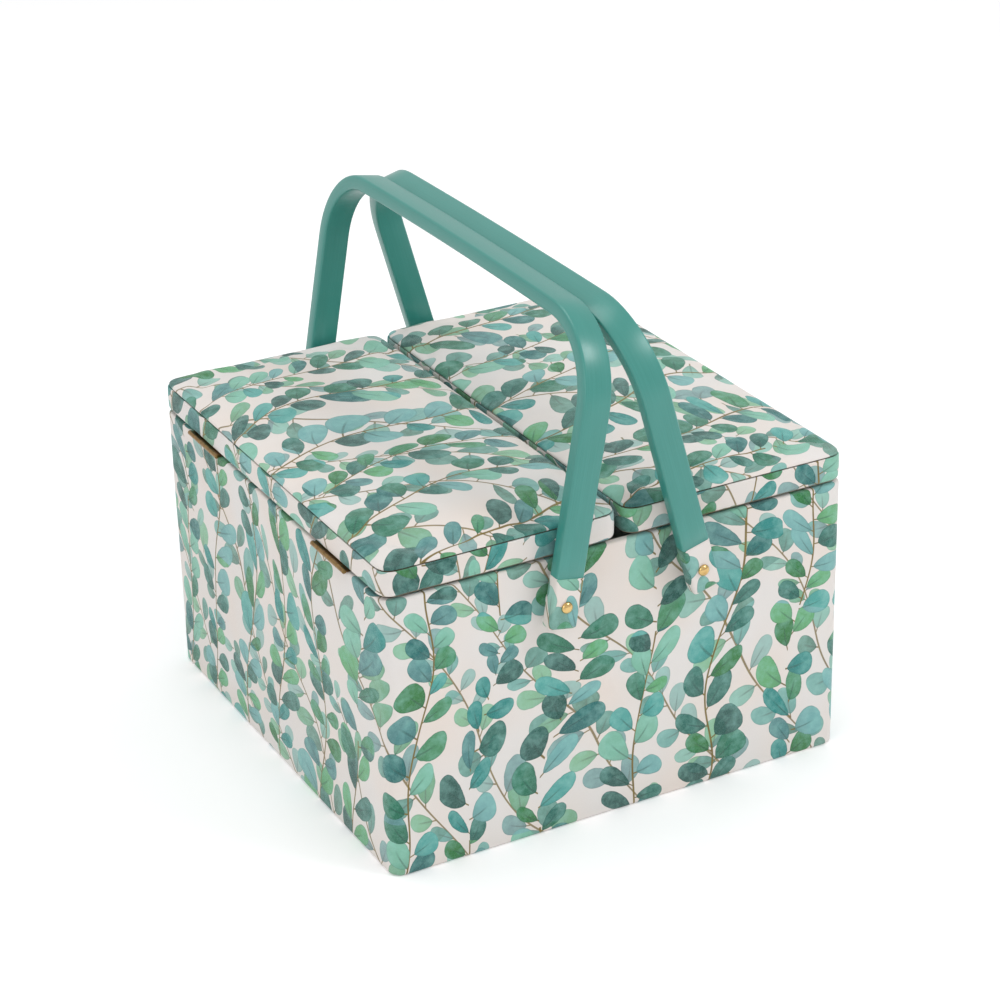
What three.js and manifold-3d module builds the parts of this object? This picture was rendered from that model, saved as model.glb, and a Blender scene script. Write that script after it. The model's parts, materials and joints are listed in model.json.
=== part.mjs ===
// Twin-lid sewing basket: a cloth-covered box, two padded lids on outer hinges, two strap handles.
// Millimetres, +Z up. Origin at the centre of the underside, +X along the front, front face at -Y.
import * as THREE from 'three';
import * as BufferGeometryUtils from 'three/addons/utils/BufferGeometryUtils.js';
import Module from 'manifold-3d';

const wasm = await Module();
wasm.setup();

// Driving dimensions
const boxWidth = 300;
const boxDepth = 305;
const boxHeight = 175;
const cornerRadius = 8;
const cloth = 0.8; // covering and lining cloth with its backing
const gap = 0.3; // clearance between neighbouring pieces
const board = 3; // wall, floor and lid boards

const lidRise = 1.8; // open joint between the box rim and the lids
const lidSplit = 4; // open joint between the two lids
const lidBand = 15.5; // height of the cloth band round a lid
const lidCornerRadius = 9;
const crownHeight = 8; // how far the padding stands above the band

const hingeLength = 42;
const hingeFromCentre = 88; // along Y
const barrelRadius = 1.5;
const barrelOutset = 1.6; // barrel axis beyond the side wall
const pinRadius = 0.65;
const pinHoleRadius = 0.95;
const leafThickness = 0.4;
const leafReach = 9;
const knuckles = 5;

const pivotFromCentre = 44.5; // handle pivots, along X
const pivotHeight = 151;
const handleReach = 163.5; // pivot to the top of the grip
const handleWidth = 17.5;
const handleThickness = 9;
const handleCorner = 50; // outside radius of the bend
const handleStandOff = 5; // box face to the handle's inner face
const leftLean = THREE.MathUtils.degToRad(10.2);
const rightLean = THREE.MathUtils.degToRad(-15.2);
const coverAbove = 17; // cloth end cover, above and below the pivot
const coverBelow = 13.8;
const coverCloth = 0.5;

const rivetHeadRadius = 3.5;
const rivetHeadHeight = 2.4;
const shankRadius = 2;
const shankHoleRadius = 2.4;
const tailRadius = 3.2;
const tailThickness = 1.4;
const spacerRadius = 6;
const washerRadius = 5.5;
const washerThickness = 1;

const trayWidth = 284;
const trayDepth = 284;
const trayHeight = 42;
const trayWall = 2.4;
const ledgeTop = 118;
const ledgeHeight = 8;
const ledgeReach = 8;
const ledgeLength = 240;

// Levels that follow from the driving dimensions
const baseTop = cloth + 0.2 + gap + board;
const wallBottom = baseTop + gap;
const panelTop = boxHeight - gap;
const lidBottom = boxHeight + lidRise;
const bandTop = lidBottom + lidBand;
const hingeHeight = (boxHeight + lidBottom) / 2;
const hingeAxisX = boxWidth / 2 + barrelOutset;
const panelOuterX = boxWidth / 2 - cloth - gap;
const panelOuterY = boxDepth / 2 - cloth - gap;
const liningOuterX = panelOuterX - board - gap;
const liningOuterY = panelOuterY - board - gap;
const liningInnerX = liningOuterX - cloth;
const liningInnerY = liningOuterY - cloth;
const panelRadius = cornerRadius - cloth - gap;
const liningRadius = 4;
const handleInnerY = boxDepth / 2 + handleStandOff;
const handleOuterY = handleInnerY + handleThickness;

// Materials, one for each mesh
function finish(color, roughness, metalness = 0) {
  return () => new THREE.MeshStandardMaterial({ color, roughness, metalness });
}
const printedCloth = finish(0xc9d8d0, 0.9);
const liningCloth = finish(0xefe9de, 0.9);
const fibreBoard = finish(0xb39a78, 0.8);
const foam = finish(0xf2ecd2, 0.95);
const handlePlastic = finish(0x4b9b8c, 0.35);
const trayPlastic = finish(0xe8ece9, 0.45);
const brass = finish(0xcfa55a, 0.25, 1);
const pinCushionCloth = finish(0x4b9b8c, 0.9);

const basket = new THREE.Group();

function add(name, geometry, material, parent = basket) {
  const mesh = new THREE.Mesh(geometry, material());
  mesh.name = name;
  parent.add(mesh);
  return mesh;
}

// Shapes and solids
function roundedOutline(path, halfX, halfY, radius) {
  path.moveTo(radius - halfX, -halfY);
  path.lineTo(halfX - radius, -halfY);
  path.absarc(halfX - radius, radius - halfY, radius, -Math.PI / 2, 0);
  path.lineTo(halfX, halfY - radius);
  path.absarc(halfX - radius, halfY - radius, radius, 0, Math.PI / 2);
  path.lineTo(radius - halfX, halfY);
  path.absarc(radius - halfX, halfY - radius, radius, Math.PI / 2, Math.PI);
  path.lineTo(-halfX, radius - halfY);
  path.absarc(radius - halfX, radius - halfY, radius, Math.PI, 1.5 * Math.PI);
  return path;
}

function upright(shape, bottom, top, curveSegments = 4) {
  const geometry = new THREE.ExtrudeGeometry(shape, {
    depth: top - bottom, bevelEnabled: false, curveSegments,
  });
  return geometry.translate(0, 0, bottom);
}

function roundedSlab(halfX, halfY, radius, bottom, top) {
  return upright(roundedOutline(new THREE.Shape(), halfX, halfY, radius), bottom, top);
}

function roundedRing(halfX, halfY, radius, thickness, bottom, top) {
  const shape = roundedOutline(new THREE.Shape(), halfX, halfY, radius);
  const inside = new THREE.Path();
  const innerRadius = Math.max(radius - thickness, 0.5);
  shape.holes.push(roundedOutline(inside, halfX - thickness, halfY - thickness, innerRadius));
  return upright(shape, bottom, top);
}

function block(x0, x1, y0, y1, z0, z1) {
  const geometry = new THREE.BoxGeometry(Math.abs(x1 - x0), Math.abs(y1 - y0), Math.abs(z1 - z0));
  return geometry.translate((x0 + x1) / 2, (y0 + y1) / 2, (z0 + z1) / 2);
}

function rodAlongY(radius, x, y0, y1, z, segments = 12) {
  const geometry = new THREE.CylinderGeometry(radius, radius, Math.abs(y1 - y0), segments);
  return geometry.translate(x, (y0 + y1) / 2, z);
}

function toSolid(geometry) {
  const bare = geometry.clone();
  bare.deleteAttribute('normal');
  bare.deleteAttribute('uv');
  const merged = BufferGeometryUtils.mergeVertices(bare, 1e-4);
  return new wasm.Manifold(new wasm.Mesh({
    numProp: 3,
    vertProperties: new Float32Array(merged.attributes.position.array),
    triVerts: new Uint32Array(merged.index.array),
  }));
}

function toGeometry(solid) {
  const mesh = solid.getMesh();
  const geometry = new THREE.BufferGeometry();
  geometry.setAttribute('position', new THREE.BufferAttribute(mesh.vertProperties, 3));
  geometry.setIndex(new THREE.BufferAttribute(mesh.triVerts, 1));
  geometry.computeVertexNormals();
  return geometry;
}

function carve(geometry, cutters) {
  return toGeometry(cutters.reduce((solid, cutter) => solid.subtract(toSolid(cutter)), toSolid(geometry)));
}

function rivetHoles(radius) {
  const reach = boxDepth;
  return [-1, 1].map((side) => rodAlongY(radius, side * pivotFromCentre, -reach, reach, pivotHeight));
}

// Box
function addBox() {
  const halfX = boxWidth / 2;
  const halfY = boxDepth / 2;
  const envelope = toSolid(roundedSlab(panelOuterX, panelOuterY, panelRadius, wallBottom, panelTop));
  const wallPanel = (cutters, ...sides) => {
    const solid = toSolid(block(...sides, wallBottom, panelTop)).intersect(envelope);
    return cutters.length ? carve(toGeometry(solid), cutters) : toGeometry(solid);
  };
  const holes = rivetHoles(shankHoleRadius);
  const innerX = panelOuterX - board;
  const innerY = panelOuterY - board;

  add('base_cover', roundedSlab(halfX, halfY, cornerRadius, 0, cloth + 0.2), printedCloth);
  add('base_panel', roundedSlab(panelOuterX, panelOuterY, panelRadius, baseTop - board, baseTop), fibreBoard);
  add('left_panel', wallPanel([], -panelOuterX, -innerX, -panelOuterY, panelOuterY), fibreBoard);
  add('right_panel', wallPanel([], innerX, panelOuterX, -panelOuterY, panelOuterY), fibreBoard);
  add('front_panel', wallPanel(holes, gap - innerX, innerX - gap, -panelOuterY, -innerY), fibreBoard);
  add('back_panel', wallPanel(holes, gap - innerX, innerX - gap, innerY, panelOuterY), fibreBoard);

  const wrap = roundedRing(halfX, halfY, cornerRadius, cloth, baseTop - board, boxHeight);
  add('outer_wrap', carve(wrap, holes), printedCloth);
  const lining = roundedRing(liningOuterX, liningOuterY, liningRadius, cloth, wallBottom, panelTop);
  add('lining_walls', carve(lining, holes), liningCloth);
  const floorX = liningInnerX - gap;
  const floorY = liningInnerY - gap;
  add('lining_floor', roundedSlab(floorX, floorY, liningRadius, wallBottom, wallBottom + cloth), liningCloth);
}

// Lift-out organiser: one long channel at the left, rows of cells at the right
const trayCells = [
  { x: [0, 0.26], y: [0, 1] },
  { x: [0.26, 0.63], y: [0, 0.34] },
  { x: [0.26, 0.63], y: [0.34, 0.67] },
  { x: [0.26, 0.63], y: [0.67, 1] },
  { x: [0.63, 1], y: [0, 0.34] },
  { x: [0.63, 1], y: [0.34, 0.67] },
  { x: [0.63, 1], y: [0.67, 1] },
];

function addTray() {
  for (const [name, side] of [['tray_ledge_left', -1], ['tray_ledge_right', 1]]) {
    const outer = side * (liningInnerX - gap);
    const inner = outer - side * ledgeReach;
    const halfLength = ledgeLength / 2;
    add(name, block(outer, inner, -halfLength, halfLength, ledgeTop - ledgeHeight, ledgeTop), fibreBoard);
  }
  const bottom = ledgeTop + gap;
  const outside = roundedSlab(trayWidth / 2, trayDepth / 2, 6, bottom, bottom + trayHeight);
  const openX = trayWidth - trayWall;
  const openY = trayDepth - trayWall;
  const pockets = trayCells.map((cell) => block(
    cell.x[0] * openX + trayWall - trayWidth / 2, cell.x[1] * openX - trayWidth / 2,
    cell.y[0] * openY + trayWall - trayDepth / 2, cell.y[1] * openY - trayDepth / 2,
    bottom + trayWall, bottom + trayHeight + 1,
  ));
  add('organiser_tray', carve(outside, pockets), trayPlastic);
}

// A crowned pad: a rounded-rectangle outline that rises from a rim level to a soft crown
const crownRings = [1, 0.97, 0.9, 0.76, 0.5];

function crownLevel(share, rim, crown) {
  return rim + crown * Math.sqrt(1 - share ** 4);
}

function crownedSurface(outline, level, centre, rim, crown) {
  const rows = [outline.map((p) => [p.x, p.y, level])];
  for (const share of crownRings) {
    const z = crownLevel(share, rim, crown);
    rows.push(outline.map((p) => [centre + (p.x - centre) * share, p.y * share, z]));
  }
  return rows;
}

function stitchRows(rows, closeStart, closeEnd) {
  const count = rows[0].length;
  const positions = rows.flat(2);
  const index = [];
  for (let r = 0; r + 1 < rows.length; r += 1) {
    for (let i = 0; i < count; i += 1) {
      const j = (i + 1) % count;
      const a = r * count;
      const b = a + count;
      index.push(a + i, a + j, b + j, a + i, b + j, b + i);
    }
  }
  const cap = (rowStart, point, flip) => {
    const middle = positions.length / 3;
    positions.push(...point);
    for (let i = 0; i < count; i += 1) {
      const j = (i + 1) % count;
      index.push(...(flip ? [middle, rowStart + j, rowStart + i] : [middle, rowStart + i, rowStart + j]));
    }
  };
  if (closeStart) cap(0, closeStart, true);
  if (closeEnd) cap((rows.length - 1) * count, closeEnd, false);
  const geometry = new THREE.BufferGeometry();
  geometry.setAttribute('position', new THREE.Float32BufferAttribute(positions, 3));
  geometry.setIndex(index);
  geometry.computeVertexNormals();
  return geometry;
}

function padOutline(centre, halfX, halfY, radius) {
  const path = roundedOutline(new THREE.Shape(), halfX, halfY, radius);
  const points = path.getPoints(3).map((p) => new THREE.Vector2(p.x + centre, p.y));
  return points.filter((p, i) => i === 0 || p.distanceTo(points[i - 1]) > 0.01)
    .filter((p, i, all) => i + 1 < all.length || p.distanceTo(all[0]) > 0.01);
}

function crownedPad(centre, halfX, halfY, radius, bottom, rim, crown) {
  const rows = crownedSurface(padOutline(centre, halfX, halfY, radius), bottom, centre, rim, crown);
  return stitchRows(rows, [centre, 0, bottom], [centre, 0, rim + crown]);
}

function crownedShell(centre, halfX, halfY, radius, thickness, bottom, rim, crown) {
  const outer = toSolid(crownedPad(centre, halfX, halfY, radius, bottom, rim, crown));
  const innerX = halfX - thickness;
  const innerY = halfY - thickness;
  const hollow = crownedPad(centre, innerX, innerY, radius - thickness, bottom - 1, rim - thickness, crown);
  return toGeometry(outer.subtract(toSolid(hollow)));
}

// Lids: side is -1 for the left one and 1 for the right one
function addLid(side, word) {
  const halfX = (boxWidth - lidSplit) / 4;
  const halfY = boxDepth / 2;
  const centre = side * (boxWidth / 4 + lidSplit / 4);
  const frameInset = cloth + gap;
  const frameX = halfX - frameInset;
  const frameY = halfY - frameInset;
  const frameRadius = lidCornerRadius - frameInset;
  const boardTop = bandTop - cloth - gap;
  const boardBottom = boardTop - board;
  const shift = (geometry) => geometry.translate(centre, 0, 0);
  const prefix = `lid_${word}`;
  const group = new THREE.Group();
  basket.add(group);

  const band = roundedRing(halfX, halfY, lidCornerRadius, cloth, lidBottom, bandTop);
  add(`${prefix}_band`, shift(band), printedCloth, group);
  const rim = roundedRing(frameX, frameY, frameRadius, board + 1, lidBottom + gap, boardBottom - gap);
  add(`${prefix}_rim`, shift(rim), fibreBoard, group);
  const top = roundedSlab(frameX, frameY, frameRadius, boardBottom, boardTop);
  add(`${prefix}_board`, shift(top), fibreBoard, group);
  const insideX = frameX - board - 1 - gap;
  const insideY = frameY - board - 1 - gap;
  const liningTop = boardBottom - gap;
  const lining = roundedSlab(insideX, insideY, liningRadius, liningTop - cloth, liningTop);
  add(`${prefix}_lining`, shift(lining), liningCloth, group);

  const coverInset = 0.6;
  const coverX = halfX - coverInset;
  const coverY = halfY - coverInset;
  const coverBottom = bandTop + gap;
  const coverRim = coverBottom + 1.2;
  const crown = crownHeight - 1.5;
  const cover = crownedShell(centre, coverX, coverY, lidCornerRadius, cloth, coverBottom, coverRim, crown);
  add(`${prefix}_top_cover`, cover, printedCloth, group);
  const foamInset = cloth + gap;
  const foamX = coverX - foamInset;
  const foamY = coverY - foamInset;
  const foamRadius = lidCornerRadius - foamInset;
  const pad = crownedPad(centre, foamX, foamY, foamRadius, boardTop + gap, coverRim - foamInset, crown);
  add(`${prefix}_foam`, pad, foam, group);
  return { group, centre, underside: liningTop - cloth - gap };
}

// A pad that hangs under a lid, crowned downwards
function addHangingPad(name, centre, y, halfX, halfY, radius, top, depth, material, group) {
  const pad = crownedPad(0, halfX, halfY, radius, 0, depth * 0.35, depth * 0.65);
  pad.rotateX(Math.PI).translate(centre, y, top);
  add(name, pad, material, group);
}

// Butt hinges
function knuckleSpan(index, centreY) {
  const pitch = hingeLength / knuckles;
  const start = centreY - hingeLength / 2 + index * pitch;
  return [start + gap / 2, start + pitch - gap / 2];
}

function hingeLeaf(side, centreY, plateLow, owned) {
  const axisX = side * hingeAxisX;
  const inner = side * (hingeAxisX - barrelOutset - leafReach);
  const start = centreY - hingeLength / 2;
  let solid = toSolid(block(axisX, inner, start, start + hingeLength, plateLow, plateLow + leafThickness));
  const clearX = axisX - side * (barrelRadius + gap);
  const outside = axisX + side * (barrelRadius + 1);
  for (let i = 0; i < knuckles; i += 1) {
    const [y0, y1] = knuckleSpan(i, centreY);
    if (owned(i)) {
      solid = solid.add(toSolid(rodAlongY(barrelRadius, axisX, y0, y1, hingeHeight)));
    } else {
      const relief = block(outside, clearX, y0 - gap, y1 + gap, hingeHeight - 2, hingeHeight + 2);
      solid = solid.subtract(toSolid(relief));
    }
  }
  const bore = rodAlongY(pinHoleRadius, axisX, start - 1, start + hingeLength + 1, hingeHeight);
  return toGeometry(solid.subtract(toSolid(bore)));
}

function addHinge(side, word, place, lidGroup) {
  const centreY = place === 'front' ? -hingeFromCentre : hingeFromCentre;
  const prefix = `hinge_${word}_${place}`;
  const lowerPlate = hingeHeight - gap / 2 - 0.05 - leafThickness;
  const upperPlate = hingeHeight + gap / 2 + 0.05;
  add(`${prefix}_lower_leaf`, hingeLeaf(side, centreY, lowerPlate, (i) => i % 2 === 0), brass);
  add(`${prefix}_upper_leaf`, hingeLeaf(side, centreY, upperPlate, (i) => i % 2 === 1), brass, lidGroup);
  const half = hingeLength / 2;
  add(`${prefix}_pin`, rodAlongY(pinRadius, side * hingeAxisX, centreY - half, centreY + half, hingeHeight), brass);
}

// Strap handles, drawn in the plane of the bail and extruded along X
function bailOutline(halfSpan, reach, radius, foot) {
  const shape = new THREE.Shape();
  shape.moveTo(-halfSpan, foot);
  shape.lineTo(-halfSpan, reach - radius);
  shape.absarc(radius - halfSpan, reach - radius, radius, Math.PI, Math.PI / 2, true);
  shape.lineTo(halfSpan - radius, reach);
  shape.absarc(halfSpan - radius, reach - radius, radius, Math.PI / 2, 0, true);
  shape.lineTo(halfSpan, foot);
  const innerSpan = halfSpan - handleThickness;
  const innerRadius = radius - handleThickness;
  shape.lineTo(innerSpan, foot);
  shape.lineTo(innerSpan, reach - radius);
  shape.absarc(halfSpan - radius, reach - radius, innerRadius, 0, Math.PI / 2);
  shape.lineTo(radius - halfSpan, reach - handleThickness);
  shape.absarc(radius - halfSpan, reach - radius, innerRadius, Math.PI / 2, Math.PI);
  shape.lineTo(-innerSpan, foot);
  return shape;
}

function addHandle(side, word, lean) {
  const group = new THREE.Group();
  group.position.set(side * pivotFromCentre, 0, pivotHeight);
  group.rotation.y = lean;
  basket.add(group);

  const outline = bailOutline(handleOuterY, handleReach, handleCorner, coverAbove + gap);
  const strap = new THREE.ExtrudeGeometry(outline, {
    depth: handleWidth, bevelEnabled: false, curveSegments: 8,
  });
  const acrossX = new THREE.Matrix4().makeBasis(
    new THREE.Vector3(0, 1, 0), new THREE.Vector3(0, 0, 1), new THREE.Vector3(1, 0, 0),
  );
  strap.applyMatrix4(acrossX).translate(-handleWidth / 2, 0, 0);

  const inset = coverCloth + gap;
  const tangX = handleWidth / 2 - inset;
  const tangFoot = inset - coverBelow;
  const hole = rodAlongY(shankHoleRadius, 0, -boxDepth, boxDepth, 0);
  let bail = toSolid(strap);
  for (const end of [-1, 1]) {
    const near = end * (handleInnerY + inset);
    const far = end * (handleOuterY - inset);
    bail = bail.add(toSolid(block(-tangX, tangX, near, far, tangFoot, coverAbove + 2)));
    const halfWidth = handleWidth / 2;
    const sleeve = block(-halfWidth, halfWidth, end * handleInnerY, end * handleOuterY, -coverBelow, coverAbove);
    const skin = coverCloth;
    const hollow = block(
      skin - halfWidth, halfWidth - skin,
      end * (handleInnerY + skin), end * (handleOuterY - skin), skin - coverBelow, coverAbove + 1,
    );
    const place = end < 0 ? 'front' : 'back';
    add(`handle_${word}_end_cover_${place}`, carve(sleeve, [hollow, hole]), printedCloth, group);
  }
  add(`handle_${word}`, toGeometry(bail.subtract(toSolid(hole))), handlePlastic, group);
}

// Rivets: a domed head outside, a shank through handle, spacer and wall, a spread tail inside
function rivetProfile() {
  const seat = handleOuterY + gap;
  const tailStart = liningInnerY - gap - washerThickness - gap;
  const points = [new THREE.Vector2(0, tailStart - tailThickness)];
  points.push(new THREE.Vector2(tailRadius, tailStart - tailThickness));
  points.push(new THREE.Vector2(tailRadius, tailStart));
  points.push(new THREE.Vector2(shankRadius, tailStart));
  points.push(new THREE.Vector2(shankRadius, seat));
  const steps = 5;
  for (let i = 0; i < steps; i += 1) {
    const angle = (i / steps) * Math.PI / 2;
    points.push(new THREE.Vector2(
      rivetHeadRadius * Math.cos(angle), seat + rivetHeadHeight * Math.sin(angle),
    ));
  }
  points.push(new THREE.Vector2(0, seat + rivetHeadHeight));
  return points;
}

function addPivot(side, word, place) {
  const end = place === 'front' ? -1 : 1;
  const x = side * pivotFromCentre;
  const rivet = new THREE.LatheGeometry(rivetProfile(), 14);
  if (end < 0) rivet.rotateX(Math.PI);
  add(`rivet_${word}_${place}`, rivet.translate(x, 0, pivotHeight), brass);

  const spacerOuter = end * (handleInnerY - gap);
  const spacerInner = end * (boxDepth / 2 + gap);
  const washerOuter = end * (liningInnerY - gap);
  const washerInner = washerOuter - end * washerThickness;
  const holes = rivetHoles(shankHoleRadius);
  const spacer = rodAlongY(spacerRadius, x, spacerInner, spacerOuter, pivotHeight, 20);
  add(`spacer_${word}_${place}`, carve(spacer, holes), trayPlastic);
  const washer = rodAlongY(washerRadius, x, washerInner, washerOuter, pivotHeight, 20);
  add(`washer_${word}_${place}`, carve(washer, holes), brass);
}

addBox();
addTray();
for (const [side, word, lean] of [[-1, 'left', leftLean], [1, 'right', rightLean]]) {
  const lid = addLid(side, word);
  if (side < 0) {
    addHangingPad('pincushion', lid.centre, 55, 40, 40, 20, lid.underside, 8, pinCushionCloth, lid.group);
  } else {
    addHangingPad('elastic_pocket', lid.centre, 0, 55, 60, 6, lid.underside, 4, liningCloth, lid.group);
  }
  for (const place of ['front', 'back']) {
    addHinge(side, word, place, lid.group);
    addPivot(side, word, place);
  }
  addHandle(side, word, lean);
}

export default basket;
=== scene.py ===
"""A twin-lid sewing basket: printed cloth over boards, two padded lids, two strap handles."""
import json
import math

import bpy
import bmesh
from mathutils import Matrix, Vector, noise


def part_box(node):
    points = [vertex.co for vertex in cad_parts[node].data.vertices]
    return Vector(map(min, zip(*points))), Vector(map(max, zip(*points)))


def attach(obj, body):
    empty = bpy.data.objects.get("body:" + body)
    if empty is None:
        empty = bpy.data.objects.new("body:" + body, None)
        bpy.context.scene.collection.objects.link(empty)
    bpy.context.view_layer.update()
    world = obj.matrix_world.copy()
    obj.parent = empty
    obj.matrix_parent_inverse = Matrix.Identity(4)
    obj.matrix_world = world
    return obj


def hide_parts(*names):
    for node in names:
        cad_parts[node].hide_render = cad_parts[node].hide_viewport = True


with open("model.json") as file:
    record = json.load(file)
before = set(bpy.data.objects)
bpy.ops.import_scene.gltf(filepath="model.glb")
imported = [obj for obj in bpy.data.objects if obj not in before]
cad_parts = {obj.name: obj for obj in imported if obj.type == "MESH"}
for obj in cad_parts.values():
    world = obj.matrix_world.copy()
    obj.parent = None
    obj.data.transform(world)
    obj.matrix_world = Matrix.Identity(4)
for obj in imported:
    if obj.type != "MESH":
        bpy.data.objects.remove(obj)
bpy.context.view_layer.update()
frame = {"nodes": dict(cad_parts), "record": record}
MM = 0.001

# ---------------------------------------------------------------- places, from the frame

_, wrap_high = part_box("outer_wrap")
BOX_X = wrap_high[0]
BOX_Y = wrap_high[1]
BOX_TOP = wrap_high[2]
BOX_RADIUS = 8 * MM
LID_RADIUS = 9 * MM
STACK = 5.2 * MM  # cloth, board and lining of a wall
JOINTS = {joint["name"]: joint for joint in frame["record"]["behaviour"]["joints"]}
SIDES = (("left", -1), ("right", 1))
ENDS = (("front", -1), ("back", 1))
LEANS = {"left": math.radians(10.2), "right": math.radians(-15.2)}


# ---------------------------------------------------------------- node arithmetic

class Term:
    """A number in a node tree: arithmetic on it adds Math nodes."""

    def __init__(self, tree, socket):
        self.tree = tree
        self.socket = socket

    def op(self, operation, *others, clamp=False):
        node = self.tree.nodes.new("ShaderNodeMath")
        node.operation = operation
        node.use_clamp = clamp
        for slot, value in zip(node.inputs, (self, *others)):
            plug(self.tree, value, slot)
        return Term(self.tree, node.outputs[0])

    def __add__(self, other):
        return self.op("ADD", other)

    def __sub__(self, other):
        return self.op("SUBTRACT", other)

    def __mul__(self, other):
        return self.op("MULTIPLY", other)

    def __truediv__(self, other):
        return self.op("DIVIDE", other)

    def __pow__(self, other):
        return self.op("POWER", other)

    __radd__ = __add__
    __rmul__ = __mul__

    def __rsub__(self, other):
        return self.op("MULTIPLY", -1.0) + other

    def above(self, level):
        return self.op("GREATER_THAN", level)

    def below(self, level):
        return self.op("LESS_THAN", level)

    def clamp(self):
        return self.op("ADD", 0.0, clamp=True)

    def mix(self, other, share):
        return self + (other - self) * share


def plug(tree, value, slot):
    if isinstance(value, Term):
        tree.links.new(value.socket, slot)
    elif hasattr(value, "is_output"):
        tree.links.new(value, slot)
    else:
        slot.default_value = value


class Shader:
    """A material under construction."""

    def __init__(self, name):
        self.material = bpy.data.materials.new(name)
        self.material.use_nodes = True
        self.tree = self.material.node_tree
        self.tree.nodes.clear()
        self.output = self.node("ShaderNodeOutputMaterial")
        self.surface = self.node("ShaderNodeBsdfPrincipled")
        self.tree.links.new(self.surface.outputs[0], self.output.inputs[0])

    def node(self, kind, **settings):
        made = self.tree.nodes.new(kind)
        for key, value in settings.items():
            setattr(made, key, value)
        return made

    def set(self, **values):
        for name, value in values.items():
            plug(self.tree, value, self.surface.inputs[name.replace("_", " ")])
        return self

    def uv(self, scale=1000.0):
        """The cloth's own coordinates, in millimetres."""
        split = self.node("ShaderNodeSeparateXYZ")
        source = self.node("ShaderNodeUVMap", uv_map="cloth")
        self.tree.links.new(source.outputs[0], split.inputs[0])
        return [Term(self.tree, split.outputs[i]) * scale for i in range(2)]

    def place(self, scale=1000.0):
        """The piece's coordinates in the row frame, in millimetres."""
        split = self.node("ShaderNodeSeparateXYZ")
        source = self.node("ShaderNodeTexCoord")
        self.tree.links.new(source.outputs["Object"], split.inputs[0])
        return [Term(self.tree, split.outputs[i]) * scale for i in range(3)]

    def vector(self, *terms):
        made = self.node("ShaderNodeCombineXYZ")
        for slot, term in zip(made.inputs, terms):
            plug(self.tree, term, slot)
        return made.outputs[0]

    def noise(self, vector, scale, detail=2.0, roughness=0.5, flat=True):
        made = self.node("ShaderNodeTexNoise", noise_dimensions="2D" if flat else "3D")
        self.tree.links.new(vector, made.inputs["Vector"])
        made.inputs["Scale"].default_value = scale
        made.inputs["Detail"].default_value = detail
        made.inputs["Roughness"].default_value = roughness
        return made

    def noise_value(self, vector, scale, detail=2.0, roughness=0.5, flat=True):
        return Term(self.tree, self.noise(vector, scale, detail, roughness, flat).outputs[0])

    def split(self, socket):
        made = self.node("ShaderNodeSeparateColor")
        self.tree.links.new(socket, made.inputs[0])
        return [Term(self.tree, made.outputs[i]) for i in range(3)]

    def dice(self, *seeds):
        """Four steady random numbers for the given whole-number seeds."""
        made = self.node("ShaderNodeTexWhiteNoise", noise_dimensions="3D")
        self.tree.links.new(self.vector(*seeds), made.inputs["Vector"])
        return [*self.split(made.outputs["Color"]), Term(self.tree, made.outputs["Value"])]

    def blend(self, share, first, second, mode="MIX"):
        made = self.node("ShaderNodeMix", data_type="RGBA", blend_type=mode)
        plug(self.tree, share, made.inputs[0])
        plug(self.tree, first, made.inputs[6])
        plug(self.tree, second, made.inputs[7])
        return made.outputs[2]

    def ramp(self, share, stops, interpolation="LINEAR"):
        made = self.node("ShaderNodeValToRGB")
        made.color_ramp.interpolation = interpolation
        elements = made.color_ramp.elements
        while len(elements) < len(stops):
            elements.new(0.5)
        for element, (position, color) in zip(elements, stops):
            element.position = position
            element.color = color
        plug(self.tree, share, made.inputs[0])
        return made.outputs[0]

    def bump(self, height, distance, strength=1.0):
        made = self.node("ShaderNodeBump")
        made.inputs["Strength"].default_value = strength
        made.inputs["Distance"].default_value = distance
        plug(self.tree, height, made.inputs["Height"])
        return made.outputs[0]


def paint(red, green, blue):
    """A colour given as 0-255 screen values."""
    def linear(value):
        value /= 255
        return value / 12.92 if value <= 0.04045 else ((value + 0.055) / 1.055) ** 2.4
    return (linear(red), linear(green), linear(blue), 1.0)


# ---------------------------------------------------------------- printed canvas

LEAF_COLORS = [
    paint(4, 76, 68), paint(70, 156, 150), paint(20, 108, 78), paint(122, 182, 158),
    paint(4, 98, 98), paint(56, 132, 84), paint(74, 128, 130), paint(8, 128, 124),
    paint(24, 112, 40), paint(92, 164, 106), paint(18, 96, 84), paint(112, 168, 168),
]
PALE_COLORS = [
    paint(122, 180, 164), paint(84, 158, 150), paint(136, 176, 170), paint(112, 176, 132),
    paint(52, 132, 118), paint(100, 144, 146), paint(84, 156, 112), paint(44, 118, 98),
]
PRINT_SCALE = 1.6  # the vines are laid out at unit size and enlarged
GROUND = paint(225, 221, 218)
GROUND_WARM = paint(228, 217, 209)
STEM = paint(140, 122, 48)
STEM_DARK = paint(92, 72, 30)


def weave(u, v, pitch):
    """Over-and-under threads: 0 in the gaps, 1 on the crowns."""
    turn = math.tau / pitch
    return (u * turn).op("SINE") * (v * turn).op("SINE") * 0.5 + 0.5


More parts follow.
